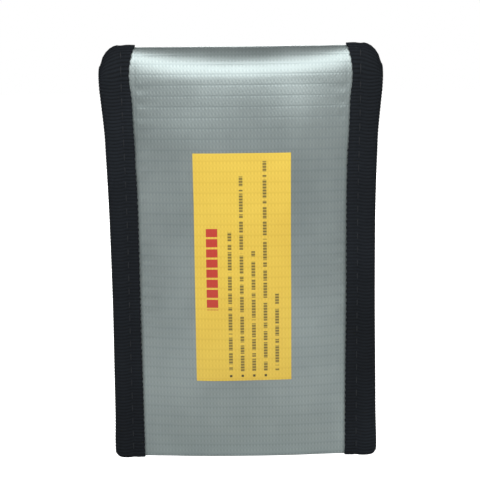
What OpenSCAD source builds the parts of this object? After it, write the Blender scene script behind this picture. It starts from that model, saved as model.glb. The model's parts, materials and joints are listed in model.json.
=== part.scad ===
/* [Bag] */
// Width over both side bindings
bag_w = 108; // [80:1:160]
// Height from the folded bottom to the top fold, closed
bag_h = 170; // [130:1:240]
// Thickness of the filled-out pouch at its fullest place
bag_t = 17; // [13:0.5:26]
// Depth of the flat bottom that it stands on
base_t = 11; // [8:0.5:15]
// How far the flat bottom lies towards the front, the flap's side
base_shift = 2; // [0:0.5:2.5]
// Height of the fullest place of the pouch
crown_z = 72; // [55:1:80]
// Thickness of the pouch where the back panel meets the top fold
neck_t = 13; // [10:0.5:18]
// Radius of the bottom corners
corner_r = 2; // [2:0.5:4]

/* [Cloth] */
// Thickness of the silver-coated outer cloth
cloth_t = 0.5; // [0.4:0.1:0.8]
// Thickness of the inner lining
lining_t = 0.3; // [0.2:0.1:0.6]
// Gap between one sewn layer and the next
layer_gap = 0.1; // [0.05:0.05:0.2]
// Length of cloth turned under at the mouth and at the flap's end
hem_w = 6; // [4:0.5:10]

/* [Side binding] */
// Visible width of the folded tape
binding_w = 11.5; // [8:0.5:16]
// Thickness of the ribbed tape
tape_t = 0.8; // [0.5:0.1:1.2]
// How far the tape's rounded edge stands out past the cloth
nose_r = 1.6; // [1.3:0.1:2.2]
// Distance of the sewing line from the tape's inner edge
seam_inset = 4; // [2.5:0.5:6]

/* [Top fold and flap] */
// Height of the top fold above the line where it starts
fold_h = 13; // [9:0.5:18]
// How far the fold is rounded down at its two ends
fold_round = 10; // [4:0.5:11]
// Distance of the pouch's mouth below the start of the top fold
mouth_drop = 9; // [7:0.5:20]
// Length of the flap below the start of the top fold
flap_l = 65; // [45:1:70]
// Space from the front panel's face to the flap's outer face
flap_stand = 4.5; // [4.3:0.1:7]
// Distance of the flap's side edges from the bag's middle plane
flap_edge = 7; // [6:0.5:9]

/* [Hook and loop] */
// Length of both strips across the bag
strip_l = 78; // [50:1:80]
// Width of the hook strip
hook_w = 20; // [12:1:22]
// Width of the loop strip
loop_w = 24; // [14:1:26]
// Thickness of each strip
strip_t = 1.2; // [0.8:0.1:1.3]

/* [Patch] */
// Width of the yellow patch
patch_w = 38.5; // [25:0.5:60]
// Height of the yellow patch
patch_h = 93; // [60:1:105]
// Height of the patch's lower edge above the bottom
patch_z = 34.5; // [20:0.5:40]
// Thickness of the patch's film
patch_t = 0.25; // [0.1:0.05:0.4]

/* [Thread] */
// Length of one stitch on a panel
stitch_l = 3.6; // [2:0.2:4.4]
// Length of one stitch over the top fold
fold_stitch_l = 1.8; // [1:0.2:2.2]
// Distance from one stitch to the next
stitch_pitch = 5.5; // [5:0.5:8]
// Thickness of the sewing thread
thread_t = 0.35; // [0.2:0.05:0.5]

/* [Hidden] */

SILVER = "#9ba5a4";
LINING = "#c9c8c0";
BLACK = "#1d2329";
LOOP_GREY = "#2b2f33";
YELLOW = "#e7c855";

// Plies, as offsets from the outer cloth's outer face: outwards is positive
lining_out = -cloth_t - layer_gap;
lining_in = lining_out - lining_t;
hem_out = lining_in - layer_gap;
hem_in = hem_out - cloth_t;
tape_in = layer_gap;
tape_out = tape_in + tape_t;
strip_out = layer_gap + strip_t;
thread_gap = 0.05;

// The two panels meet in a flat lip at each side, and bulge apart between the lips
lip_half = -lining_in + layer_gap;
bulge_half_w = bag_w/2 - binding_w - 0.5;
bulge_power = 2.4;
cloth_half_w = bag_w/2 - nose_r;
hem_half_w = bulge_half_w - 1;

// Heights along the strip
fold_z = bag_h - fold_h - tape_out;
mouth_z = fold_z - mouth_drop;
flap_z = fold_z - flap_l;
hook_z = flap_z + hem_w + 1;
loop_z = hook_z + hook_w/2 - loop_w/2;

// The strip is measured by u, in millimetres: negative up the front, -1 to 1 across the bottom,
// then up the back to back_end, over the top to flap_start, and down the flap
fold_len = 30;
back_end = 1 + fold_z - corner_r;
flap_start = back_end + fold_len;
joint_gap = 0.25;
function front_u(z) = -1 - z + corner_r;
function back_u(z) = 1 + z - corner_r;
function flap_u(z) = flap_start + fold_z - z;

function bulge(x) = abs(x) < bulge_half_w ? 1 - pow(abs(x)/bulge_half_w, bulge_power) : 0;

// The crown's distance from the bag's middle plane, on the front (side 1) and the back (side -1)
function crown_half(z, side) = let(base = base_t/2 + side*base_shift)
    z < crown_z ? base + (bag_t/2 - base)*sin(90*z/crown_z)
    : neck_t/2 + (bag_t - neck_t)/2*(1 + cos(180*min(1, (z - crown_z)/(fold_z - crown_z))))/2;
function pouch_y(x, z, side) = lip_half + (crown_half(z, side) - lip_half)*bulge(x);
function flap_y(x, z) = flap_edge + (crown_half(z, 1) + flap_stand - flap_edge)*bulge(x);

// The top fold is rounded down over the outer part of the side binding
round_w = 8;
function fold_rise(x) = let(t = max(0, min(0.97, (abs(x) - bag_w/2 + round_w)/round_w)))
    fold_h - fold_round*(1 - sqrt(1 - t*t));

// A bottom corner is a quarter of an ellipse, so that it also closes the thin lips
function corner(x, a, side) = let(y = pouch_y(x, corner_r, side), ry = min(corner_r, y))
    [side*(y - ry + ry*cos(a)), corner_r - corner_r*sin(a)];
function wall(x, u, side) = let(a = abs(u))
    a < 0.5 ? [corner(x, 90, side)[0]*a/0.5, 0]
    : a < 1 ? corner(x, 90*(1 - a)/0.5, side)
    : [side*pouch_y(x, a - 1 + corner_r, side), a - 1 + corner_r];
function over_fold(x, a) = let(y1 = -pouch_y(x, fold_z, -1), y2 = flap_y(x, fold_z))
    [x, (y1 + y2)/2 - (y2 - y1)/2*cos(a), fold_z + fold_rise(x)*sin(a)];

// The strip's outer face at x across and u along
function face(x, u) =
    u <= back_end ? concat([x], wall(x, u, u < 0 ? 1 : -1))
    : u < flap_start ? over_fold(x, 180*(u - back_end)/fold_len)
    : let(z = fold_z - (u - flap_start)) [x, flap_y(x, z), z];
function unit(v) = v/norm(v);
probe = 0.02;
function along(x, u) = unit(face(x, u + probe) - face(x, u - probe));
function out(x, u) = unit(cross(face(x + probe, u) - face(x - probe, u), along(x, u)));
function at(x, u, off) = face(x, u) + off*out(x, u);

// A closed solid from rings of point pairs: side A, side B, the two long edges and the two ends
module ribbon(pairs) {
    rings = len(pairs);
    n = len(pairs[0]);
    points = [for (ring = pairs) each [for (p = ring) each p]];
    function a(i, k) = 2*(i*n + k);
    function b(i, k) = 2*(i*n + k) + 1;
    function quad(p, q, r, s) = [[p, q, r], [p, r, s]];
    polyhedron(points, [
        for (i = [0:rings - 2]) each [
            for (k = [0:n - 2]) each concat(
                quad(a(i, k), a(i, k + 1), a(i + 1, k + 1), a(i + 1, k)),
                quad(b(i, k), b(i + 1, k), b(i + 1, k + 1), b(i, k + 1))),
            each quad(a(i, 0), a(i + 1, 0), b(i + 1, 0), b(i, 0)),
            each quad(a(i, n - 1), b(i, n - 1), b(i + 1, n - 1), a(i + 1, n - 1))
        ],
        for (k = [0:n - 2]) each concat(
            quad(a(0, k), b(0, k), b(0, k + 1), a(0, k + 1)),
            quad(a(rings - 1, k), a(rings - 1, k + 1), b(rings - 1, k + 1), b(rings - 1, k)))
    ]);
}

// Places across the bag at which every ply and tape bends, so that they lie parallel
panel_steps = 16;
lip_steps = 5;
tape_edge = bag_w/2 - binding_w;
panel_xs = [for (i = [0:panel_steps]) bulge_half_w*(2*i/panel_steps - 1)];
lip_xs = [for (i = [0:lip_steps - 1]) tape_edge + (cloth_half_w - tape_edge)*i/lip_steps];
function columns(half_w, lips) = concat(
    [-half_w],
    lips ? [for (i = [lip_steps - 1:-1:0]) -lip_xs[i]] : [],
    [for (x = panel_xs) if (abs(x) < half_w - 0.5) x],
    lips ? lip_xs : [],
    [half_w]);

// A ply of the strip between two offsets, over the stations us, from -half_w to half_w
module ply(us, half_w, outside, inside, lips = false) {
    ribbon([for (x = columns(half_w, lips)) [for (u = us) [at(x, u, outside), at(x, u, inside)]]]);
}

// The tape's folded section: the outer leg, the rounded nose and the inner leg
nose_steps = 6;
function tape_section(inner, lips) = let(
        mid = (tape_out + inner)/2,
        high = (tape_out - inner)/2,
        last = lips ? lip_steps - 1 : 0)
    concat(
        [for (i = [0:last]) [[lip_xs[i], tape_out], [lip_xs[i], tape_in]]],
        [for (i = [0:nose_steps]) let(a = 90 - 180*i/nose_steps)
            [[cloth_half_w + nose_r*cos(a), mid + high*sin(a)],
             [cloth_half_w + (nose_r - tape_t)*cos(a), mid + (high - tape_t)*sin(a)]]],
        [for (i = [last:-1:0]) [[lip_xs[i], inner], [lip_xs[i], inner + tape_t]]]);
// Outer face of the inner leg: round both panels up to the mouth, and round one ply above it
single_leg = lining_in - layer_gap - tape_t;
double_leg = -2*lip_half - tape_out;
leg_step = 5.5;
function inner_leg(u) = u < back_u(mouth_z + leg_step) ? double_leg : single_leg;
// Below the bottom corner the tape runs straight down to its cut end, round the folded lip
function lip(x, u, off) = u < 1 ? [x, -lip_half - off, u - 1 + corner_r] : at(x, u, off);
module tape(us, lips = false) {
    ribbon([for (u = us) [for (p = tape_section(inner_leg(u), lips))
        [lip(p[0][0], u, p[0][1]), lip(p[1][0], u, p[1][1])]]]);
}

// A straight stitch lying on the face at x, u, turned by turn degrees from along the strip
module stitch(x, u, off, length = stitch_l, turn = 0) {
    n = out(x, u);
    t = along(x, u);
    s = cross(t, n);
    p = at(x, u, off);
    multmatrix([[s[0], t[0], n[0], p[0]], [s[1], t[1], n[1], p[1]], [s[2], t[2], n[2], p[2]]])
        rotate([0, 0, turn]) cube([thread_t, length, thread_t], center = true);
}
module stitch_row(x, u1, u2, off, length = stitch_l) {
    count = floor((u2 - u1 - length)/stitch_pitch);
    for (i = [0:count]) stitch(x, (u1 + u2)/2 + (i - count/2)*stitch_pitch, off, length);
}
module cross_row(u, half_w, off) {
    count = floor((2*half_w - stitch_l)/stitch_pitch);
    for (i = [0:count]) stitch((i - count/2)*stitch_pitch, u, off, stitch_l, 90);
}
seam_x = tape_edge + seam_inset;
on_tape = tape_out + thread_gap + thread_t/2;
// Room under a straight stitch on a curved face
bow = 0.25;

// Stations
bottom_us = [-1, -0.85, -0.67, -0.5, 0.5, 0.67, 0.85, 1];
pouch_us = concat(
    [for (i = [0:7]) front_u(mouth_z + (corner_r - mouth_z)*i/8)],
    bottom_us,
    [for (i = [1:8]) back_u(corner_r + (fold_z - joint_gap - corner_r)*i/8)]);
fold_us = [for (i = [0:14]) back_end + 0.35 + (fold_len - 0.7)*i/14];
flap_us = [for (i = [0:6]) flap_u(fold_z - joint_gap + (flap_z - fold_z + joint_gap)*i/6)];

/* Pouch */
module outer_cloth() {
    color(SILVER) ply(pouch_us, cloth_half_w, 0, -cloth_t);
}
module inner_lining() {
    color(LINING) ply(pouch_us, cloth_half_w, lining_out, lining_in);
}
module mouth_hem() {
    color(SILVER) ply([front_u(mouth_z), front_u(mouth_z - hem_w)], hem_half_w, hem_out, hem_in);
}
module mouth_hem_stitching() {
    color(BLACK) cross_row(front_u(mouth_z - hem_w + 1), hem_half_w - 2, thread_gap + bow/2 + thread_t/2);
}
module side_binding() {
    color(BLACK) tape(concat([for (i = [0:5]) back_u((mouth_z + 0.5)*i/5)],
        [back_u(mouth_z + leg_step), back_u(fold_z - joint_gap)]));
}
module right_side_binding() { side_binding(); }
module left_side_binding() { mirror([1, 0, 0]) side_binding(); }
module side_stitching() {
    color(BLACK) {
        stitch_row(seam_x, back_u(corner_r + 2), back_u(fold_z - 1), on_tape);
        stitch_row(seam_x, front_u(mouth_z - 2), front_u(corner_r + 2), on_tape);
    }
}
module right_side_stitching() { side_stitching(); }
module left_side_stitching() { mirror([1, 0, 0]) side_stitching(); }
module loop_strip() {
    color(LOOP_GREY) ply([front_u(loop_z + loop_w), front_u(loop_z + loop_w/2), front_u(loop_z)],
        strip_l/2, strip_out, layer_gap);
}
module loop_strip_stitching() {
    color(BLACK) for (z = [loop_z + 1.5, loop_z + loop_w - 1.5])
        cross_row(front_u(z), strip_l/2 - 1, strip_out + thread_gap + thread_t/2);
}
module yellow_patch() {
    color(YELLOW) ply([for (i = [0:6]) back_u(patch_z + patch_h*i/6)],
        patch_w/2, layer_gap + patch_t, layer_gap);
}

/* Top fold */
module top_fold_cloth() {
    color(SILVER) ply(fold_us, cloth_half_w, 0, -cloth_t, true);
}
module top_fold_lining() {
    color(LINING) ply(fold_us, cloth_half_w, lining_out, lining_in, true);
}
module fold_binding() {
    color(BLACK) tape(fold_us, true);
}
module right_fold_binding() { fold_binding(); }
module left_fold_binding() { mirror([1, 0, 0]) fold_binding(); }
module fold_stitching() {
    color(BLACK) stitch_row(seam_x, back_end + 1, flap_start - 1, on_tape + bow/2, fold_stitch_l);
}
module right_fold_stitching() { fold_stitching(); }
module left_fold_stitching() { mirror([1, 0, 0]) fold_stitching(); }

/* Flap */
module flap_cloth() {
    color(SILVER) ply(flap_us, cloth_half_w, 0, -cloth_t);
}
module flap_lining() {
    color(LINING) ply(flap_us, cloth_half_w, lining_out, lining_in);
}
module flap_hem() {
    color(SILVER) ply([flap_u(flap_z + hem_w), flap_u(flap_z)], hem_half_w, hem_out, hem_in);
}
module flap_hem_stitching() {
    color(BLACK) cross_row(flap_u(flap_z + hem_w - 1), hem_half_w - 2, thread_gap + bow/2 + thread_t/2);
}
module flap_binding() {
    color(BLACK) tape(flap_us);
}
module right_flap_binding() { flap_binding(); }
module left_flap_binding() { mirror([1, 0, 0]) flap_binding(); }
module flap_stitching() {
    color(BLACK) stitch_row(seam_x, flap_start + 1, flap_u(flap_z + 1), on_tape);
}
module right_flap_stitching() { flap_stitching(); }
module left_flap_stitching() { mirror([1, 0, 0]) flap_stitching(); }
module hook_strip() {
    color(BLACK) ply([flap_u(hook_z + hook_w), flap_u(hook_z + hook_w/2), flap_u(hook_z)],
        strip_l/2, hem_out, hem_out - strip_t);
}
module hook_strip_stitching() {
    color(BLACK) for (z = [hook_z + 1.5, hook_z + hook_w - 1.5])
        cross_row(flap_u(z), strip_l/2 - 1, thread_gap + bow/2 + thread_t/2);
}

outer_cloth();
inner_lining();
mouth_hem();
mouth_hem_stitching();
left_side_binding();
right_side_binding();
left_side_stitching();
right_side_stitching();
loop_strip();
loop_strip_stitching();
yellow_patch();
top_fold_cloth();
top_fold_lining();
left_fold_binding();
right_fold_binding();
left_fold_stitching();
right_fold_stitching();
flap_cloth();
flap_lining();
flap_hem();
flap_hem_stitching();
left_flap_binding();
right_flap_binding();
left_flap_stitching();
right_flap_stitching();
hook_strip();
hook_strip_stitching();
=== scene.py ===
import json
import math
import random

import bpy
import numpy as np
from mathutils import Matrix, Vector


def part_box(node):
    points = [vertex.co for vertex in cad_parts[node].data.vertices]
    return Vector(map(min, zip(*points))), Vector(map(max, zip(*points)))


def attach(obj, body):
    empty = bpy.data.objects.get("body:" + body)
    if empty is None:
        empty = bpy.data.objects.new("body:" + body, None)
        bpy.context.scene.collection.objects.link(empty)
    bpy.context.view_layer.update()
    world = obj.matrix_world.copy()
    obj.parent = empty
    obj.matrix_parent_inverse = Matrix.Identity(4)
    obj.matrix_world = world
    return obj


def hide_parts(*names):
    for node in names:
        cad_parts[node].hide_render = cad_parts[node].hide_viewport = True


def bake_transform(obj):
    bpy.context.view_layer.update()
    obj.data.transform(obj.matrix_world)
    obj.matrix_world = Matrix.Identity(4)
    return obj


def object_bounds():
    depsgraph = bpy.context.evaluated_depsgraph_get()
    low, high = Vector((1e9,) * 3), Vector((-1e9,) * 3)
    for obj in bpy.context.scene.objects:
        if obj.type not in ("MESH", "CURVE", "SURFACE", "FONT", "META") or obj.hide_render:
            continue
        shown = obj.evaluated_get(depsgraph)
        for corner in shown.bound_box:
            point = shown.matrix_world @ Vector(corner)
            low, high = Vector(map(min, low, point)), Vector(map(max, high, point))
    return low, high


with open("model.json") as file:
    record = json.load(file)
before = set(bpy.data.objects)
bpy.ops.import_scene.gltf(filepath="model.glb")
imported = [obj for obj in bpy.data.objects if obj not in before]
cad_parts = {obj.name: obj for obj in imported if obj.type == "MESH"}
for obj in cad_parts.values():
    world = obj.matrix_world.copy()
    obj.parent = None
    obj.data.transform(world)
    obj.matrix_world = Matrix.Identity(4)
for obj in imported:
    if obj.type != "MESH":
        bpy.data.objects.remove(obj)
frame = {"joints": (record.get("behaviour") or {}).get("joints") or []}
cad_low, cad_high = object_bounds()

# The outer cloth: one strip of silver-coated glass-fibre cloth, cut flat, turned under at both ends
# and folded into front panel, bottom, back panel, top fold and flap. Lengths here are in millimetres,
# x across the bag and u along the strip: up the front, over the bottom, up the back, down the flap.
MM = 0.001
lift, unroll = frame["joints"]
FOLD_Z = lift["pos_m"][2] / MM
HALF_W = cad_high.x / MM
TAPE_W = 11.5
NOSE_R = 1.6
CLOTH_HALF_W = HALF_W - NOSE_R
TAPE_EDGE = HALF_W - TAPE_W
BULGE_HALF_W = TAPE_EDGE - 0.5
LIP_HALF = 1.0
MOUTH_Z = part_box("mouth_hem")[1].z / MM
HEM_W = (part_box("mouth_hem")[1].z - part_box("mouth_hem")[0].z) / MM
FLAP_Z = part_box("flap_cloth")[0].z / MM
CLOTH_T, LAYER_GAP = 0.5, 0.1
CROWN_Z = 72
CROWN_HALF = 8.5
NECK_HALF = -lift["pos_m"][1] / MM
FLAP_CROWN = unroll["pos_m"][1] / MM
FLAP_EDGE = 7
BASE_HALF, BASE_SHIFT, CORNER_R = 5.5, 2, 2
FOLD_RISE, FOLD_ROUND, ROUND_W = 13, 10, 8
FOLD_LEN = 30
BACK_END = 1 + FOLD_Z - CORNER_R
FLAP_START = BACK_END + FOLD_LEN
APEX = BACK_END + FOLD_LEN / 2
HEM_R = 0.75
STITCH_PITCH = 5.5
LEAN_Z, TOP_Z = 128, 170


def front_u(z):
    """Where height z lies along the strip on the front panel; the next two do so on the others."""
    return -1 - z + CORNER_R


def back_u(z):
    return 1 + z - CORNER_R


def flap_u(z):
    return FLAP_START + FOLD_Z - z


def smooth(a, b, t):
    """0 before a, 1 after b, and a soft step between them."""
    s = np.clip((t - a) / (b - a), 0, 1)
    return s * s * (3 - 2 * s)


def bulge(x):
    """How much of the panel's fullness a place has: 1 in the middle, 0 from the tape outwards."""
    return np.clip(1 - (np.abs(x) / BULGE_HALF_W) ** 2.4, 0, 1)


def crown(z, side):
    """How far the middle of the panel stands from the bag's middle plane."""
    base = BASE_HALF + side * BASE_SHIFT
    low = base + (CROWN_HALF - base) * np.sin(np.pi / 2 * np.clip(z / CROWN_Z, 0, 1))
    fall = np.clip((z - CROWN_Z) / (FOLD_Z - CROWN_Z), 0, 1)
    high = NECK_HALF + (CROWN_HALF - NECK_HALF) * (1 + np.cos(np.pi * fall)) / 2
    return np.where(z < CROWN_Z, low, high)


def slack(x, z):
    """The soft unevenness of handled cloth, and the small puckers beside the sewn tape."""
    wave = (0.28 * np.sin(x / 9.7 + z / 23 + 1.1) + 0.22 * np.sin(x / 5.6 - z / 13.9 + 0.4)
            + 0.14 * np.sin(z / 6.3 + x / 14 + 2))
    inset = np.maximum(BULGE_HALF_W - np.abs(x), 0)
    pucker = 0.22 * np.sin(2 * np.pi * z / STITCH_PITCH) * np.exp(-inset / 2.6) * smooth(0.6, 2.2, inset)
    return (wave * np.sqrt(bulge(x)) + pucker) * smooth(2, 16, z)


def lean(z):
    """How far the back panel leans in towards the top fold, which it meets in one soft curve."""
    return 1.6 * (np.clip(z - LEAN_Z, 0, TOP_Z - LEAN_Z) / 28) ** 2


def sway(x, z):
    """The sewn edges wander a little out of the bag's middle plane."""
    return 0.45 * np.sin(z / 17 + 1.4 - x / 60) * smooth(4, 30, z) * (1 - smooth(120, 146, z))


def face(x, u):
    """A point of the strip's outer face."""
    side = np.where(u < 0, 1.0, -1.0)
    a = np.abs(u)
    z = np.maximum(a - 1 + CORNER_R, CORNER_R)
    lip_y = sway(x, z)
    wall_y = LIP_HALF + (crown(z, side) - LIP_HALF) * bulge(x) + slack(x, z)
    wall_y = wall_y - np.where(u > 0, lean(z) * bulge(x), 0)
    turn = np.pi / 2 * np.clip((1 - a) / 0.5, 0, 1)
    corner_y = np.minimum(CORNER_R, 0.85 * wall_y)
    y = side * ((wall_y - corner_y) * np.clip(a / 0.5, 0, 1) + corner_y * np.cos(turn)) + lip_y
    wall = np.stack([x, y, np.where(a < 1, CORNER_R - CORNER_R * np.sin(turn), z)], -1)

    angle = np.pi * np.clip((u - BACK_END) / FOLD_LEN, 0, 1)
    drop = np.clip((np.abs(x) - HALF_W + ROUND_W) / ROUND_W, 0, 0.97)
    rise = FOLD_RISE - FOLD_ROUND * (1 - np.sqrt(1 - drop ** 2))
    y1 = -(LIP_HALF + (NECK_HALF - LIP_HALF) * bulge(x) + slack(x, FOLD_Z))
    y2 = FLAP_EDGE + (FLAP_CROWN - FLAP_EDGE) * bulge(x) + 0.5 * slack(x, FOLD_Z)
    z2 = FOLD_Z + rise * np.sin(angle)
    y = (y1 + y2) / 2 - (y2 - y1) / 2 * np.cos(angle) + lean(z2) * bulge(x) * (1 + np.cos(angle)) / 2
    fold = np.stack([x, y, z2], -1)

    z3 = FOLD_Z - (u - FLAP_START)
    y3 = (FLAP_EDGE + (crown(z3, 1) + FLAP_CROWN - NECK_HALF - FLAP_EDGE) * bulge(x)
          + 0.5 * slack(x, z3))
    flap = np.stack([x, y3, z3], -1)
    u = np.asarray(u)[..., None]
    p = np.where(u <= BACK_END, wall, np.where(u < FLAP_START, fold, flap))
    # the bag is a little wider towards its top fold, where nothing holds it flat
    p[..., 0] *= 1 + 0.016 * smooth(-75, -14, -np.abs(u[..., 0] - APEX))
    return p


def outward(x, u):
    """The unit normal of the outer face."""
    d = 0.02
    n = np.cross(face(x + d, u) - face(x - d, u), face(x, u + d) - face(x, u - d))
    n = np.where((np.abs(u) < 0.5)[..., None], [0, 0, -1], n)
    return n / np.linalg.norm(n, axis=-1, keepdims=True)


def place(x, u, off):
    """The point that stands off the outer face at x, u. The cloth's two ends turn under in a hem."""
    past_mouth = np.maximum(front_u(MOUTH_Z - HEM_R) - u, 0)
    past_end = np.maximum(u - flap_u(FLAP_Z + HEM_R), 0)
    past = past_mouth + past_end
    turn = np.minimum(past / HEM_R, np.pi)
    reach = HEM_R * np.sin(turn) - np.maximum(past - np.pi * HEM_R, 0)
    base = np.clip(u, front_u(MOUTH_Z - HEM_R), flap_u(FLAP_Z + HEM_R))
    base = base - np.where(past_mouth > 0, reach, 0) + np.where(past_end > 0, reach, 0)
    n = outward(x, base)
    depth = off * np.cos(turn) - HEM_R * (1 - np.cos(turn))
    return face(x, base) + depth[..., None] * n


def spaced(*stretches):
    """Places along a line: each stretch is its start and the step to the next start."""
    out = []
    for (a, step), (b, _) in zip(stretches, stretches[1:]):
        out += list(np.linspace(a, b, max(1, round(abs(b - a) / step)), endpoint=False))
    return np.array(out + [stretches[-1][0]])


def cut(name, across, along):
    """A flat grid of cloth with the given lines across and along, and its own UV map."""
    bpy.ops.object.select_all(action="DESELECT")
    bpy.ops.mesh.primitive_grid_add(x_subdivisions=len(across) - 1, y_subdivisions=len(along) - 1, size=1)
    piece = bpy.context.object
    piece.name = piece.data.name = name
    flat = np.zeros(len(piece.data.vertices) * 3)
    piece.data.vertices.foreach_get("co", flat)
    flat = flat.reshape(-1, 3) + 0.5
    column, row = flat[:, 0] * (len(across) - 1), flat[:, 1] * (len(along) - 1)
    x = np.interp(column, range(len(across)), across)
    u = np.interp(row, range(len(along)), along)
    return piece, x, u


def fold_up(piece, points, s, t):
    """Moves the flat grid's points to where they are on the bag, and lays its UV map in millimetres."""
    piece.data.vertices.foreach_set("co", (points * MM).ravel())
    corner = np.zeros(len(piece.data.loops), int)
    piece.data.loops.foreach_get("vertex_index", corner)
    uv = np.stack([s[corner], t[corner]], -1)
    piece.data.uv_layers[0].data.foreach_set("uv", uv.ravel())
    piece.data.update()


def thicken(piece, thickness, sharp=40):
    """Gives a folded face its thickness, inwards, and smooths its shading."""
    bpy.context.view_layer.objects.active = piece
    piece.select_set(True)
    wall = piece.modifiers.new("thickness", "SOLIDIFY")
    wall.thickness = thickness * MM
    wall.offset = -1
    bpy.ops.object.modifier_apply(modifier=wall.name)
    bpy.ops.object.shade_smooth_by_angle(angle=math.radians(sharp))


def length_along(along, off=0):
    """The strip's own length at each place along it, measured down its middle."""
    x = np.zeros(len(along))
    p = place(x, np.array(along), np.full(len(along), float(off)))
    return np.concatenate([[0], np.cumsum(np.linalg.norm(np.diff(p, axis=0), axis=1))])


def ply(name, along, off, thickness):
    """A ply of the folded strip: its outer face stands off the cloth's outer face. Its lines across
    stand closer beside the tape, where the cloth puckers."""
    pucker_x = TAPE_EDGE - 5
    across = spaced((-CLOTH_HALF_W, 1.7), (-TAPE_EDGE, 0.6), (-pucker_x, 1.7), (pucker_x, 0.6),
                    (TAPE_EDGE, 1.7), (CLOTH_HALF_W, 0))
    piece, x, u = cut(name, across, along)
    t = np.interp(u, along, length_along(along, off))
    fold_up(piece, place(x, u, np.full(len(x), float(off))), x, t)
    thicken(piece, thickness)
    return piece


def linear(hex_colour):
    """An sRGB hex colour as the linear colour that a shader takes."""
    parts = [int(hex_colour[i:i + 2], 16) / 255 for i in (1, 3, 5)]
    return [c / 12.92 if c <= 0.04045 else ((c + 0.055) / 1.055) ** 2.4 for c in parts] + [1]


def add(tree, kind, settings={}, inputs={}):
    """Adds a node. An input is a value, or the (node, output) that feeds it."""
    made = tree.nodes.new("ShaderNode" + kind)
    for key, value in settings.items():
        setattr(made, key, value)
    for key, value in inputs.items():
        if isinstance(value, tuple) and isinstance(value[0], bpy.types.Node):
            tree.links.new(value[0].outputs[value[1]], made.inputs[key])
        else:
            made.inputs[key].default_value = value
    return made


def finish_of(name, settings):
    """A new material with its one Principled shader set."""
    material = bpy.data.materials.new(name)
    material.use_nodes = True
    shader = material.node_tree.nodes["Principled BSDF"]
    for key, value in settings.items():
        shader.inputs[key].default_value = value
    return material, material.node_tree, shader


WEAVE_RIB, WEAVE_ROW, WEAVE_BAR = 1.35, 1.06, 4.25


def woven(tree):
    """The relief of the silver cloth: upright ribs, fine staggered rows of dots between them, and a
    heavier row every few, each from its pitch in millimetres. Gives the (node, output) of a height."""
    uv = add(tree, "UVMap", {"uv_map": "UVMap"})
    split = add(tree, "SeparateXYZ", {}, {0: (uv, 0)})
    waves = []
    for axis, pitch in ((0, WEAVE_RIB), (1, 2 * WEAVE_ROW), (1, WEAVE_BAR)):
        turn = add(tree, "Math", {"operation": "MULTIPLY"}, {0: (split, axis), 1: 2 * math.pi / pitch})
        waves.append(add(tree, "Math", {"operation": "COSINE"}, {0: (turn, 0)}))
    dots = add(tree, "Math", {"operation": "MULTIPLY"}, {0: (waves[0], 0), 1: (waves[1], 0)})
    line = add(tree, "Math", {"operation": "MULTIPLY_ADD"}, {0: (waves[2], 0), 1: 0.5, 2: 0.5})
    line = add(tree, "Math", {"operation": "POWER"}, {0: (line, 0), 1: 12.0})
    ribs = add(tree, "Math", {"operation": "MULTIPLY_ADD"}, {0: (waves[0], 0), 1: 0.16, 2: 0.55})
    body = add(tree, "Math", {"operation": "MULTIPLY_ADD"}, {0: (dots, 0), 1: 0.22, 2: (ribs, 0)})
    return add(tree, "Math", {"operation": "MULTIPLY_ADD"}, {0: (line, 0), 1: -0.3, 2: (body, 0)}), 0


# Silver-coated glass-fibre cloth: aluminium pigment in a thin rubbery coat over a woven base. It is a
# soft grey metal to the eye, with the weave's ribs and rows showing through and a broad, dull shine.
silver, tree, shader = finish_of("silver_coated_cloth", {"Metallic": 0.66, "Roughness": 0.4})
relief = woven(tree)
coords = add(tree, "TexCoord")
# clouds about 26 mm wide and a grain of about 0.45 mm: a noise's scale is in turns per metre
clouds = add(tree, "TexNoise", {}, {"Vector": (coords, 3), "Scale": 38.0, "Detail": 3.0})
grain = add(tree, "TexNoise", {}, {"Vector": (coords, 3), "Scale": 2200.0, "Detail": 2.0})
# the base colour is painted shade of the weave: darker where its relief is low, between the ribs and
# along the heavier rows, and lighter on the ribs
shade = add(tree, "Mix", {"data_type": "RGBA"}, {0: relief, 6: linear("#808b8b"), 7: linear("#929c9b")})
cloudy = add(tree, "Mix", {"data_type": "RGBA", "blend_type": "SOFT_LIGHT"},
             {0: 0.35, 6: (shade, 2), 7: (clouds, 0)})
tree.links.new(cloudy.outputs[2], shader.inputs["Base Color"])
rough = add(tree, "MapRange", {}, {0: (clouds, 0), 3: 0.34, 4: 0.46})
tree.links.new(rough.outputs[0], shader.inputs["Roughness"])
height = add(tree, "Math", {"operation": "MULTIPLY_ADD"}, {0: (grain, 0), 1: 0.18, 2: relief})
bump = add(tree, "Bump", {}, {"Strength": 0.4, "Distance": 0.00016, "Height": (height, 0)})
tree.links.new(bump.outputs[0], shader.inputs["Normal"])

# the strip's lines along: close together in the hems, round the bottom's corners and over the fold
HEM_TURN = math.pi * HEM_R
HEM_LEN = HEM_TURN + HEM_W
mouth_u, end_u = front_u(MOUTH_Z - HEM_R), flap_u(FLAP_Z + HEM_R)
NEAR_FOLD = FOLD_Z - 12
pouch_along = spaced(
    (mouth_u - HEM_LEN, 0.8), (mouth_u - HEM_TURN, 0.2), (mouth_u, 1.15), (-4, 0.4), (-1, 0.05),
    (-0.5, 0.1), (0.5, 0.05), (1, 0.4), (4, 1.15), (back_u(NEAR_FOLD), 0.6), (BACK_END, 0.45), (APEX, 0))
flap_along = spaced(
    (APEX, 0.45), (FLAP_START, 0.6), (flap_u(NEAR_FOLD), 1.15), (end_u, 0.2), (end_u + HEM_TURN, 0.8),
    (end_u + HEM_LEN, 0))


def bends_at_back(piece):
    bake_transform(piece)


def bends_at_flap(piece):
    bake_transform(piece)


def cut_size(along, off):
    """The flat size, in metres, that a ply was cut to."""
    return 2 * CLOTH_HALF_W * MM, float(length_along(along, off)[-1]) * MM


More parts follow.
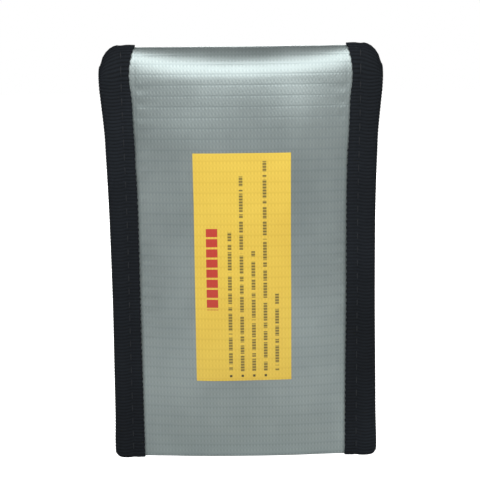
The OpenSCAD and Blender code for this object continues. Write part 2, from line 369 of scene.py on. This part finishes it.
pouch_cloth = ply("outer_cloth_pouch", pouch_along, 0, CLOTH_T)
flap_cloth = ply("outer_cloth_flap", flap_along, 0, CLOTH_T)
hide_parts("outer_cloth", "mouth_hem")
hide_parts("top_fold_cloth", "flap_cloth", "flap_hem")
for piece, bends in ((pouch_cloth, bends_at_back), (flap_cloth, bends_at_flap)):
    piece.data.materials.append(silver)
    bends(piece)

# The lining: an uncoated strip of off-white glass-fibre cloth, sewn in behind the outer cloth along
# the same side seams. Its two ends are caught under the hems, so they stop just short of them.
LINING_T = 0.3
LINING_OFF = -CLOTH_T - LAYER_GAP
UNDER_HEM = 2.2
glass, tree, shader = finish_of("glass_fibre_lining", {"Roughness": 0.75, "Sheen Weight": 0.2})
uv = add(tree, "UVMap", {"uv_map": "UVMap"})
checks = add(tree, "TexChecker", {},
             {0: (uv, 0), "Scale": 1.1, 1: linear("#cfcec5"), 2: linear("#b9b8ae")})
coords = add(tree, "TexCoord")
# clouds about 17 mm wide
clouds = add(tree, "TexNoise", {}, {"Vector": (coords, 3), "Scale": 60.0, "Detail": 4.0})
tone = add(tree, "Mix", {"data_type": "RGBA", "blend_type": "SOFT_LIGHT"},
           {0: 0.3, 6: (checks, 0), 7: (clouds, 0)})
tree.links.new(tone.outputs[2], shader.inputs["Base Color"])
bump = add(tree, "Bump", {}, {"Strength": 0.4, "Distance": 0.00015, "Height": (checks, 1)})
tree.links.new(bump.outputs[0], shader.inputs["Normal"])

lining_pouch_along = pouch_along[pouch_along > front_u(MOUTH_Z - UNDER_HEM)]
lining_flap_along = flap_along[flap_along < flap_u(FLAP_Z + UNDER_HEM)]
pouch_lining = ply("lining_pouch", lining_pouch_along, LINING_OFF, LINING_T)
flap_lining = ply("lining_flap", lining_flap_along, LINING_OFF, LINING_T)
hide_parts("inner_lining")
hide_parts("top_fold_lining", "flap_lining")
for piece, bends in ((pouch_lining, bends_at_back), (flap_lining, bends_at_flap)):
    piece.data.materials.append(glass)
    bends(piece)

# The side bindings: black grosgrain tape, 25 mm wide, folded lengthwise over the raw edges and sewn
# through. Its ribs run across it, it is drawn down along the seam, and it fills out over the edge.
TAPE_T = 0.8
FLAT_TAPE_W = 25
SEAM_X = TAPE_EDGE + 4
RIB = 1.36
LEG = 0.42
TAPE_OUT = LAYER_GAP + TAPE_T
SINGLE_LEG = LINING_OFF - LINING_T - LAYER_GAP - TAPE_T
DOUBLE_LEG = -2 * LIP_HALF - TAPE_OUT


def inner_leg(u):
    """Where the tape's inner leg lies: behind both panels up to the mouth, behind one ply above it."""
    step = smooth(back_u(MOUTH_Z + 0.5), back_u(MOUTH_Z + 5.5), u)
    return DOUBLE_LEG + (SINGLE_LEG - DOUBLE_LEG) * step


def spread(u):
    """How far the folded edge stands out or in along the bag: pressed out below the top fold, a
    little drawn in at the waist, and rounded at both cut ends."""
    flare = 1.4 * smooth(-40, -13, -np.abs(u - APEX))
    waist = -0.45 * np.exp(-((u - back_u(62)) / 38) ** 2) + 0.35 * np.exp(-((u - back_u(5)) / 9) ** 2)
    foot = np.clip((back_u(2.6) - u) / 2.6, 0, 1)
    tip = np.clip((u - flap_u(FLAP_Z + 4)) / 4, 0, 1)
    return flare + waist - 2.2 * (1 - np.sqrt(1 - foot ** 2)) - 3.5 * (1 - np.sqrt(1 - tip ** 2))


def tape_section(c, u, hand):
    """The tape's outer face at c, from 0 at the outer leg's edge through 0.5 at the fold to 1 at the
    inner leg's edge: (x, off, how high the rib stands). Hand is 1 on the right and -1 on the left."""
    inner = inner_leg(u)
    mid, high = (TAPE_OUT + inner) / 2, (TAPE_OUT - inner) / 2
    share = np.where(c < 0.5, np.clip(c / LEG, 0, 1), np.clip((1 - c) / LEG, 0, 1))
    # the inner edge stands in on the panels, out below the fold and in again over its top
    edge = TAPE_EDGE - 0.8 * (1 - smooth(back_u(110), back_u(145), u))
    edge = edge + 0.9 * np.exp(-((u - back_u(FOLD_Z + 1)) / 6) ** 2)
    edge = edge - 1.3 * np.exp(-((u - APEX) / 6) ** 2) + 0.1 * np.sin(2 * np.pi * u / 2.4)
    x = edge + (CLOTH_HALF_W - edge) * share
    turn = np.pi * np.clip((c - LEG) / (1 - 2 * LEG), 0, 1)
    x = x + NOSE_R * np.sin(turn)
    # it puffs out over the edge, lifts a little beside the seam, and is drawn down at each needle hole
    puffed = 0.55 * np.sin(np.pi * np.clip((x - SEAM_X) / (HALF_W - SEAM_X), 0, 1)) ** 0.8
    lifted = 0.12 * np.sin(np.pi * np.clip((x - edge) / (SEAM_X - edge), 0, 1))
    hole = 1 + 0.35 * np.cos(2 * np.pi * (u - BACK_END) / STITCH_PITCH)
    drawn = -0.3 * hole * np.exp(-((x - SEAM_X) / 0.75) ** 2)
    lift_off = (puffed + lifted + drawn) * np.where(share < 1, 1, np.abs(np.cos(turn)))
    side = np.where(c < 0.5, 1, -1)
    off = mid + high * np.cos(turn) + side * lift_off
    low_right = 0.9 * (1 - smooth(back_u(20), back_u(110), u)) if hand > 0 else 0
    reach = spread(u) + low_right
    x = x + reach * smooth(SEAM_X, HALF_W - 1, x)
    arch = 0.5 * np.sin(np.pi * np.clip((x - SEAM_X) / (HALF_W - SEAM_X), 0, 1)) * side
    cord = np.abs(np.cos(np.pi * (u - APEX + RIB / 2 + arch) / RIB)) ** 0.7
    rib = 0.17 * (cord - 0.7)
    return x + rib * np.sin(turn), off + rib * np.cos(turn), cord


def on_lip(x, u, off):
    """Below the bottom corner the tape runs straight down to its cut end."""
    low = np.stack([x, np.full(len(x), -LIP_HALF) - off, u - 1 + CORNER_R], -1)
    return np.where((u < 1)[:, None], low, place(x, np.maximum(u, 1), off))


# Black grosgrain in polyester: each rib catches a little light along its back and is dark beside it.
# The yarn is drawn at 0.42 mm, coarser than it is, so that it shows.
YARN = 0.42
grosgrain, tree, shader = finish_of("black_grosgrain_tape",
                                    {"Roughness": 0.8, "Specular IOR Level": 0.12})
cord = add(tree, "Attribute", {"attribute_name": "cord"})
coords = add(tree, "TexCoord")
# fluff of about 1.1 mm, and worn places about 33 mm wide
fluff = add(tree, "TexNoise", {}, {"Vector": (coords, 3), "Scale": 900.0, "Detail": 3.0})
fade = add(tree, "TexNoise", {}, {"Vector": (coords, 3), "Scale": 30.0, "Detail": 2.0})
uv = add(tree, "UVMap", {"uv_map": "UVMap"})
split = add(tree, "SeparateXYZ", {}, {0: (uv, 0)})
yarn_turn = add(tree, "Math", {"operation": "MULTIPLY"}, {0: (split, 0), 1: 2 * math.pi / YARN})
yarn = add(tree, "Math", {"operation": "COSINE"}, {0: (yarn_turn, 0)})
ridge = add(tree, "Mix", {"data_type": "RGBA"},
            {0: (cord, 2), 6: linear("#040608"), 7: linear("#171b20")})
worn = add(tree, "Mix", {"data_type": "RGBA", "blend_type": "SOFT_LIGHT"},
           {0: 0.5, 6: (ridge, 2), 7: (fade, 0)})
tree.links.new(worn.outputs[2], shader.inputs["Base Color"])
height = add(tree, "Math", {"operation": "MULTIPLY_ADD"}, {0: (yarn, 0), 1: 0.3, 2: (fluff, 0)})
bump = add(tree, "Bump", {}, {"Strength": 0.5, "Distance": 0.0001, "Height": (height, 0)})
tree.links.new(bump.outputs[0], shader.inputs["Normal"])

ROWS_PER_RIB = 6
tape_across = np.concatenate([np.linspace(0, LEG, 13), np.linspace(LEG, 1 - LEG, 9)[1:],
                              np.linspace(1 - LEG, 1, 7)[1:]])
tape_start, tape_end = back_u(0), flap_u(FLAP_Z)
tape_pouch_along = np.linspace(tape_start, APEX, round((APEX - tape_start) / RIB * ROWS_PER_RIB))
tape_flap_along = np.linspace(APEX, tape_end, round((tape_end - APEX) / RIB * ROWS_PER_RIB))


def tape(name, side, along):
    """One length of folded tape, on the right (side 1) or the left (side -1)."""
    piece, c, u = cut(name, tape_across if side > 0 else tape_across[::-1], along)
    x, off, ribs = tape_section(c, u, side)
    fold_up(piece, on_lip(side * x, u, off), FLAT_TAPE_W * c, u)
    height = piece.data.attributes.new("cord", "FLOAT", "POINT")
    height.data.foreach_set("value", ribs)
    thicken(piece, TAPE_T * 0.8, 60)
    piece.data.materials.append(grosgrain)
    return piece


for word, side in (("left", -1), ("right", 1)):
    lower = tape(word + "_binding_pouch", side, tape_pouch_along)
    bends_at_back(lower)
    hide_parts(word + "_side_binding")
    upper = tape(word + "_binding_flap", side, tape_flap_along)
    bends_at_flap(upper)
    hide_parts(word + "_fold_binding", word + "_flap_binding")

# The sewing: black polyester thread, one lockstitch row down each binding, through both hems and
# round the hook and loop strips. Each stitch is a short raised length that dives in at both ends.
THREAD_R = 0.24
STITCH, SHORT_STITCH = 3.6, 3
ON_TAPE = TAPE_OUT - 0.12
ON_CLOTH = 0.1
thread, tree, shader = finish_of("black_polyester_thread", {"Roughness": 0.6, "Specular IOR Level": 0.3})
coords = add(tree, "TexCoord")
# the twist of the thread, about 0.33 mm
twist = add(tree, "TexNoise", {}, {"Vector": (coords, 3), "Scale": 3000.0, "Detail": 1.0})
tone = add(tree, "Mix", {"data_type": "RGBA"},
           {0: (twist, 0), 6: linear("#0a0c0f"), 7: linear("#1b2025")})
tree.links.new(tone.outputs[2], shader.inputs["Base Color"])
bump = add(tree, "Bump", {}, {"Strength": 0.4, "Distance": 0.00005, "Height": (twist, 0)})
tree.links.new(bump.outputs[0], shader.inputs["Normal"])

bpy.ops.object.select_all(action="DESELECT")
bpy.ops.mesh.primitive_uv_sphere_add(segments=8, ring_count=8, radius=1)
one_stitch = bpy.context.object
stitch_points = np.array([v.co[:] for v in one_stitch.data.vertices])
stitch_faces = [list(p.vertices) for p in one_stitch.data.polygons]
bpy.data.objects.remove(one_stitch)


def solid_of(name, points, faces, material):
    """One piece made of many small closed shapes, given in millimetres."""
    mesh = bpy.data.meshes.new(name)
    mesh.from_pydata((points * MM).tolist(), [], faces)
    piece = bpy.data.objects.new(name, mesh)
    bpy.context.collection.objects.link(piece)
    bpy.ops.object.select_all(action="DESELECT")
    bpy.context.view_layer.objects.active = piece
    piece.select_set(True)
    bpy.ops.object.mode_set(mode="EDIT")
    bpy.ops.mesh.select_all(action="SELECT")
    bpy.ops.mesh.normals_make_consistent(inside=False)
    bpy.ops.object.mode_set(mode="OBJECT")
    bpy.ops.object.shade_smooth()
    piece.data.materials.append(material)
    return piece


def sew(name, spots, surface, across=False, length=STITCH):
    """A row of stitches at spots (x, u, off, facing) on a surface, along the strip or across it.
    Facing is 1 on the bag's outer side and -1 where the thread shows on the other side."""
    points, faces = [], []
    # the sphere's poles become the stitch's two ends
    run = np.sign(stitch_points[:, 2]) * np.abs(stitch_points[:, 2]) ** 1.4 * length / 2
    wide = stitch_points[:, 0] * THREAD_R
    dx, du = (run, wide) if across else (wide, run)
    for x, u, off, facing in spots:
        up = facing * (stitch_points[:, 1] * THREAD_R - 0.42 * (2 * run / length) ** 4)
        faces += [[i + len(points) * len(stitch_points) for i in f] for f in stitch_faces]
        points.append(surface(x + dx, u + du, off + up))
    piece = solid_of(name, np.concatenate(points), faces, thread)
    return piece


def row(start, end):
    """The middles of the stitches between two places, in step with the tape's needle holes."""
    first = math.ceil((start + STITCH / 2 - BACK_END) / STITCH_PITCH - 0.5)
    last = math.floor((end - STITCH / 2 - BACK_END) / STITCH_PITCH - 0.5)
    return [BACK_END + (k + 0.5) * STITCH_PITCH for k in range(first, last + 1)]


for word, side in (("left", -1), ("right", 1)):
    x = side * SEAM_X
    lower = [(x, u, ON_TAPE, 1) for u in row(back_u(2), APEX)]
    lower += [(x, u, inner_leg(u) - 0.02, -1) for u in row(back_u(2), APEX)]
    seam = sew(word + "_seam_pouch", lower, on_lip)
    bends_at_back(seam)
    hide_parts(word + "_side_stitching")
    upper = [(x, u, ON_TAPE, 1) for u in row(APEX, flap_u(FLAP_Z + 1))]
    upper += [(x, u, inner_leg(u) - 0.02, -1) for u in row(APEX, flap_u(FLAP_Z + 1))]
    seam = sew(word + "_seam_flap", upper, on_lip)
    bends_at_flap(seam)
    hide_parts(word + "_fold_stitching", word + "_flap_stitching")


def sew_across(name, rows, half_w, off, body, node):
    """Straight rows of shorter stitches across the bag, at places along the strip."""
    pitch = 4.2
    count = int(2 * half_w / pitch)
    spots = [((k - count / 2) * pitch, u, off, 1) for k in range(count + 1) for u in rows]
    piece = sew(name, spots, place, True, SHORT_STITCH)
    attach(piece, body)
    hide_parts(node)


HEM_ROW = HEM_W - 1
sew_across("mouth_hem_stitches", [front_u(MOUTH_Z - HEM_ROW)], 40, ON_CLOTH, "pouch",
           "mouth_hem_stitching")
sew_across("flap_hem_stitches", [flap_u(FLAP_Z + HEM_ROW)], 40, ON_CLOTH, "flap",
           "flap_hem_stitching")

# The yellow patch: a thin film pressed hot onto the back panel, so that the cloth's weave shows
# through it. It is printed with plain marks only: a row of red blocks and broken dark rules with dots.
patch_low, patch_high = (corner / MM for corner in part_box("yellow_patch"))
PATCH_T = 0.2
PATCH_OFF = 0.3 * LAYER_GAP + PATCH_T
film, tree, shader = finish_of("yellow_pressed_film", {"Roughness": 0.42})
uv = add(tree, "UVMap", {"uv_map": "UVMap"})
split = add(tree, "SeparateXYZ", {}, {0: (uv, 0)})
relief = woven(tree)
coords = add(tree, "TexCoord")
# clouds about 22 mm wide
clouds = add(tree, "TexNoise", {}, {"Vector": (coords, 3), "Scale": 45.0, "Detail": 3.0})
# the film's colour is painted shade of the weave under it: darker where the relief is low and lighter
# where it is high, while the bump below gives the weave as relief
ground = add(tree, "Mix", {"data_type": "RGBA"},
             {0: relief, 6: linear("#c9a83a"), 7: linear("#d8b948")})
ground = add(tree, "Mix", {"data_type": "RGBA", "blend_type": "SOFT_LIGHT"},
             {0: 0.25, 6: (ground, 2), 7: (clouds, 0)})
left, foot = patch_low.x, float(np.interp(back_u(patch_low.z), pouch_along, length_along(pouch_along)))
# marks as (middle from the left edge, start and end from the lower edge, width), in millimetres
FIRST_RULE, RULE_GAP = 14.0, 4.7
rules = [(FIRST_RULE + i * RULE_GAP, 4, end, 1.5) for i, end in enumerate((61.5, 84, 54, 90, 36.5))]
dots = [(FIRST_RULE + i * RULE_GAP, 1.6, 2.6, 1.0) for i in range(4)]
head = [(6.9, 30, 63, 4.6)]
FIRST_SNAP = 2.45
# the marks are laid out on a patch this wide, and are spread to the width of the real one
LAYOUT_W = 38.5
spread_x = (patch_high.x - patch_low.x) / LAYOUT_W


def marks_along(period, shift=None):
    """A wave up the patch, moved on by shift from one rule to the next."""
    turn = add(tree, "Math", {"operation": "MULTIPLY"}, {0: (split, 1), 1: 2 * math.pi / period})
    if shift:
        turn = add(tree, "Math", {"operation": "MULTIPLY_ADD"}, {0: (which, 0), 1: shift, 2: (turn, 0)})
    return add(tree, "Math", {"operation": "COSINE"}, {0: (turn, 0)})


# the rules are broken unevenly, where either of two waves of different length is at its crest
from_left = add(tree, "Math", {"operation": "SUBTRACT"}, {0: (split, 0), 1: left - FIRST_SNAP})
which = add(tree, "Math", {"operation": "SNAP"}, {0: (from_left, 0), 1: RULE_GAP})
gaps = [add(tree, "Math", {"operation": "LESS_THAN"}, {0: (marks_along(period, shift), 0), 1: 0.95})
        for period, shift in ((8.3, 2.9), (12.7, 1.7))]
dashes = add(tree, "Math", {"operation": "MULTIPLY"}, {0: (gaps[0], 0), 1: (gaps[1], 0)})
hatch = add(tree, "Math", {"operation": "MULTIPLY_ADD"}, {0: (marks_along(1.17), 0), 1: 0.3, 2: 0.62})
dashes = add(tree, "Math", {"operation": "MULTIPLY"}, {0: (dashes, 0), 1: (hatch, 0)})
blocks = add(tree, "Math", {"operation": "LESS_THAN"}, {0: (marks_along(4.1), 0), 1: 0.82})
for colour, bars, broken in (("#22211c", rules, dashes), ("#22211c", dots, None),
                             ("#ad1522", head, blocks)):
    for x, start, end, wide in bars:
        over = add(tree, "Math", {"operation": "COMPARE"},
                   {0: (split, 0), 1: left + x * spread_x, 2: wide / 2})
        up = add(tree, "Math", {"operation": "COMPARE"},
                 {0: (split, 1), 1: foot + (start + end) / 2, 2: (end - start) / 2})
        inked = add(tree, "Math", {"operation": "MULTIPLY"}, {0: (over, 0), 1: (up, 0)})
        if broken:
            inked = add(tree, "Math", {"operation": "MULTIPLY"}, {0: (inked, 0), 1: (broken, 0)})
        inked = add(tree, "Math", {"operation": "MULTIPLY"}, {0: (inked, 0), 1: 0.94})
        ground = add(tree, "Mix", {"data_type": "RGBA"},
                     {0: (inked, 0), 6: (ground, 2), 7: linear(colour)})
tree.links.new(ground.outputs[2], shader.inputs["Base Color"])
bump = add(tree, "Bump", {}, {"Strength": 0.35, "Distance": 0.00012, "Height": relief})
tree.links.new(bump.outputs[0], shader.inputs["Normal"])

across = np.linspace(patch_low.x, patch_high.x, 60)
along = np.linspace(back_u(patch_low.z), back_u(patch_high.z), 160)
patch, x, u = cut("yellow_patch_film", across, along)
t = np.interp(u, pouch_along, length_along(pouch_along))
fold_up(patch, place(x, u, np.full(len(x), PATCH_OFF)), x, t)
thicken(patch, PATCH_T)
patch.data.materials.append(film)
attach(patch, "pouch")
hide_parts("yellow_patch")

# The closure: a strip of black loop tape sewn to the front panel, and a strip of hook tape sewn
# under the flap. The loops are a tangled pile of fine arcs, and the hooks stand in close rows.
random.seed(7)
STRIP_BASE = 0.45


def strip(name, node, u_of, outer, faces_out, material):
    """The woven base of one strip, and where it lies: (base, x range, u range)."""
    low, high = (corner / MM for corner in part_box(node))
    u1, u2 = sorted((u_of(low.z), u_of(high.z)))
    across = np.linspace(low.x, high.x, 40)
    along = np.linspace(u1, u2, 14)
    piece, x, u = cut(name, across if faces_out else across[::-1], along)
    fold_up(piece, place(x, u, np.full(len(x), outer)), x, u)
    thicken(piece, STRIP_BASE)
    piece.data.materials.append(material)
    return piece, (low.x, high.x), (u1, u2)


def arcs(name, spots, wide, high, radius, stands_at, direction, sweep, material):
    """Many small bent fibres standing on a strip. A spot is (x, u, turn, size), and sweep is how much
    of a half turn each fibre makes: a whole one is a loop, less is a hook."""
    bends, sides = 5, 4
    points, faces = [], []
    for x, u, turn, size in spots:
        base = len(points)
        for i in range(bends):
            a = np.pi * sweep * i / (bends - 1)
            across, up = -math.cos(a) * wide / 2 * size, math.sin(a) * high * size
            for k in range(sides):
                b = 2 * math.pi * k / sides
                s = across - math.cos(a) * radius * math.cos(b)
                h = up + math.sin(a) * radius * math.cos(b)
                side_step = radius * math.sin(b)
                points.append((x + s * math.cos(turn) - side_step * math.sin(turn),
                               u + s * math.sin(turn) + side_step * math.cos(turn),
                               stands_at + direction * h))
        for i in range(bends - 1):
            for k in range(sides):
                a1, a2 = base + i * sides + k, base + i * sides + (k + 1) % sides
                faces.append((a1, a2, a2 + sides, a1 + sides))
        faces.append(tuple(base + k for k in range(sides))[::-1])
        faces.append(tuple(base + (bends - 1) * sides + k for k in range(sides)))
    p = np.array(points)
    return solid_of(name, place(p[:, 0], p[:, 1], p[:, 2]), faces, material)


def nylon(name, dark, light, roughness, sheen):
    """Black nylon, with painted highlight on its rounded fibres and painted shade between them."""
    material, tree, shader = finish_of(name, {"Roughness": roughness, "Sheen Weight": sheen})
    coords = add(tree, "TexCoord")
    # fibre relief of about 0.7 mm; the colour is painted lighter on its highs and darker on its lows, as
    # painted highlight and shade
    fibre_relief_and_shade = add(tree, "TexNoise", {}, {"Vector": (coords, 3), "Scale": 1400.0, "Detail": 3.0})
    tone = add(tree, "Mix", {"data_type": "RGBA"}, {0: (fibre_relief_and_shade, 0), 6: linear(dark), 7: linear(light)})
    tree.links.new(tone.outputs[2], shader.inputs["Base Color"])
    bump = add(tree, "Bump", {}, {"Strength": 0.6, "Distance": 0.0002, "Height": (fibre_relief_and_shade, 0)})
    tree.links.new(bump.outputs[0], shader.inputs["Normal"])
    return material


loop_nylon = nylon("brushed_loop_nylon", "#14181c", "#343a40", 0.9, 0.5)
hook_nylon = nylon("moulded_hook_nylon", "#0e1114", "#262b30", 0.4, 0.0)
BARE_EDGE = 1.6
SEWN_EDGE = 0.9

LOOP_TOP = LAYER_GAP + STRIP_BASE
base, xs, us = strip("loop_strip_base", "loop_strip", front_u, LOOP_TOP, True, loop_nylon)
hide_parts("loop_strip")
spots = [(random.uniform(xs[0] + BARE_EDGE, xs[1] - BARE_EDGE),
          random.uniform(us[0] + BARE_EDGE, us[1] - BARE_EDGE),
          random.uniform(0, math.pi), random.uniform(0.6, 1)) for _ in range(2600)]
pile = arcs("loop_strip_pile", spots, 1.5, 0.75, 0.07, LOOP_TOP, 1, 1.0, loop_nylon)
for piece in (base, pile):
    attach(piece, "pouch")
sew_across("loop_strip_stitches", (us[0] + SEWN_EDGE, us[1] - SEWN_EDGE), 38, LOOP_TOP + 0.1, "pouch",
           "loop_strip_stitching")

HOOK_TOP = LINING_OFF - LINING_T - LAYER_GAP - STRIP_BASE
LEANING = 0.3
base, xs, us = strip("hook_strip_base", "hook_strip", flap_u, HOOK_TOP, False, hook_nylon)
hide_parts("hook_strip")
spots = [(x, u, LEANING if (i + k) % 2 else math.pi + LEANING, random.uniform(0.9, 1.05))
         for i, x in enumerate(np.arange(xs[0] + BARE_EDGE, xs[1] - BARE_EDGE, 1.25))
         for k, u in enumerate(np.arange(us[0] + BARE_EDGE, us[1] - BARE_EDGE, 1.1))]
hooks = arcs("hook_strip_hooks", spots, 0.8, 0.7, 0.1, HOOK_TOP, -1, 0.72, hook_nylon)
for piece in (base, hooks):
    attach(piece, "flap")
sew_across("hook_strip_stitches", (us[0] + SEWN_EDGE, us[1] - SEWN_EDGE), 38, ON_CLOTH, "flap",
           "hook_strip_stitching")

# The sheets: the flat size that each ply of the strip was cut to, worked out once the tapes
# that hold the plies' edges are made; the sizes are not kept.
cut_size(pouch_along, 0)
cut_size(flap_along, 0)
cut_size(lining_pouch_along, LINING_OFF)
cut_size(lining_flap_along, LINING_OFF)

# The stage: a plain white floor and backdrop, a wide lamp above the front, a small one over the near
# floor, a soft one behind, and the camera.
world = bpy.data.worlds.new("studio")
bpy.context.scene.world = world
world.use_nodes = True
tree = world.node_tree
sky = tree.nodes["Background"]
sky.inputs[0].default_value = (1, 1, 1, 1)
path = add(tree, "LightPath")
power = add(tree, "Math", {"operation": "MULTIPLY_ADD"}, {0: (path, 0), 1: 0.83, 2: 0.17})
tree.links.new(power.outputs[0], sky.inputs[1])

floor_mat, tree, shader = finish_of("pale_floor", {"Roughness": 0.9, "Base Color": linear("#f4f4f4"),
                                                   "Emission Color": (1, 1, 1, 1)})
path = add(tree, "LightPath")
tree.links.new(path.outputs[0], shader.inputs["Emission Strength"])
bpy.ops.object.select_all(action="DESELECT")
bpy.ops.mesh.primitive_plane_add(size=6, location=(0, 0, 0))
floor = bpy.context.object
floor.name = "floor"
floor.data.materials.append(floor_mat)


def lamp(name, place_at, aim, size, watts):
    light = bpy.data.lights.new(name, "AREA")
    light.shape = "RECTANGLE"
    light.size, light.size_y = size
    light.energy = watts
    o = bpy.data.objects.new(name, light)
    o.visible_camera = False
    bpy.context.collection.objects.link(o)
    o.location = place_at
    o.rotation_euler = (Vector(aim) - Vector(place_at)).to_track_quat("-Z", "Y").to_euler()


lamp("key", (0, -0.40, 0.37), (0, 0, 0.12), (0.8, 0.18), 2.1)
lamp("near", (0, -0.17, 0.32), (0, -0.09, 0), (0.5, 0.08), 0.55)
lamp("back", (0.2, 0.9, 0.55), (0, 0, 0.08), (0.7, 0.5), 6)

ELEVATION, DISTANCE, ROLL = math.radians(10.3), 0.458, math.radians(-0.66)
aim = Vector((-0.00104, 0, 0.0915))
view = Vector((0, math.cos(ELEVATION), -math.sin(ELEVATION)))
camera = bpy.data.cameras.new("camera")
camera.sensor_width = 36
camera.lens = 84.6
eye = bpy.data.objects.new("camera", camera)
bpy.context.collection.objects.link(eye)
turn = view.to_track_quat("-Z", "Y").to_matrix() @ Matrix.Rotation(ROLL, 3, "Z")
eye.matrix_world = Matrix.Translation(aim - DISTANCE * view) @ turn.to_4x4()
bpy.context.scene.camera = eye
bpy.context.scene.view_settings.view_transform = "Standard"
